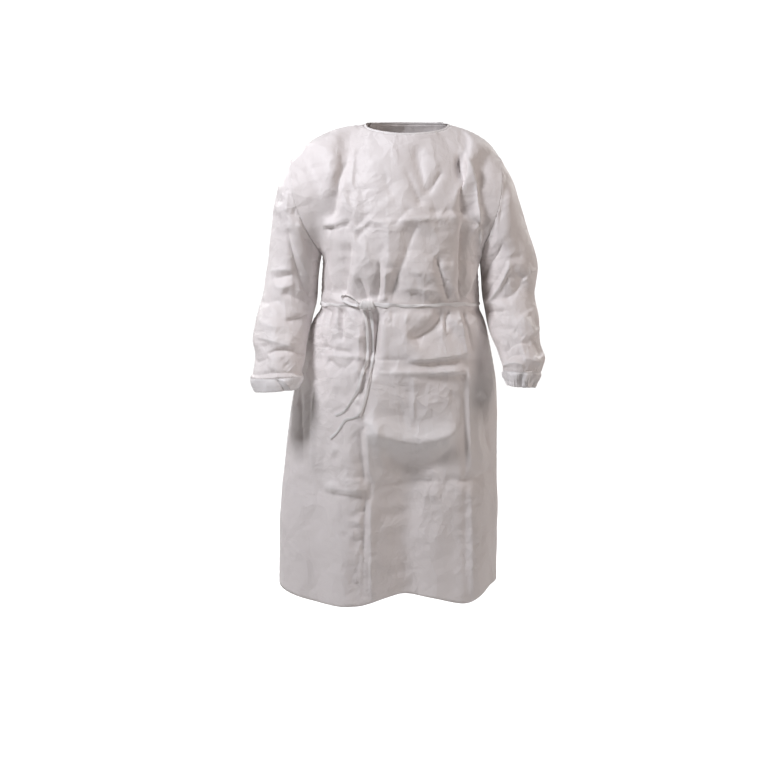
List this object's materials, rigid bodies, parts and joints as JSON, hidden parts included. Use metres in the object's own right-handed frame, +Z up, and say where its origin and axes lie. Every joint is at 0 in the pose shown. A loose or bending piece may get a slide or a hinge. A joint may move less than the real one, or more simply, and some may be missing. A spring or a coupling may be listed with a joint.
{
  "type": "isolation gown",
  "caption": "White nonwoven isolation gown in worn form, hollow, with long sleeves, gathered cuffs, lapped back and a waist belt knotted in front with hanging ends.",
  "frame": {"origin": "base of the neck, between the shoulder seams, where the wearer's neck and shoulders carry the gown", "axes": "+Z up along the body to the neck, -Y out of the front, +X to the right as seen from the front"},
  "size_m": [0.6848, 0.3502, 1.1361],
  "materials": {
    "nonwoven_cloth": "thin white spunbonded nonwoven, crisp, with a faint satin sheen",
    "cuff_cloth": "the same white nonwoven gathered on elastic thread",
    "neck_tape": "folded white nonwoven tape, stitched",
    "belt_cloth": "folded white nonwoven strap, softly creased"
  },
  "bodies": {
    "root": {"front_panel": "nonwoven_cloth", "back_panel_left": "nonwoven_cloth", "back_panel_right": "nonwoven_cloth", "sleeve_left": "nonwoven_cloth", "sleeve_right": "nonwoven_cloth", "cuff_left": "cuff_cloth", "cuff_right": "cuff_cloth", "neck_binding": "neck_tape", "belt": "belt_cloth", "belt_knot": "belt_cloth", "belt_loop": "belt_cloth", "belt_tail_a": "belt_cloth", "belt_tail_b": "belt_cloth"}
  },
  "joints": []
}
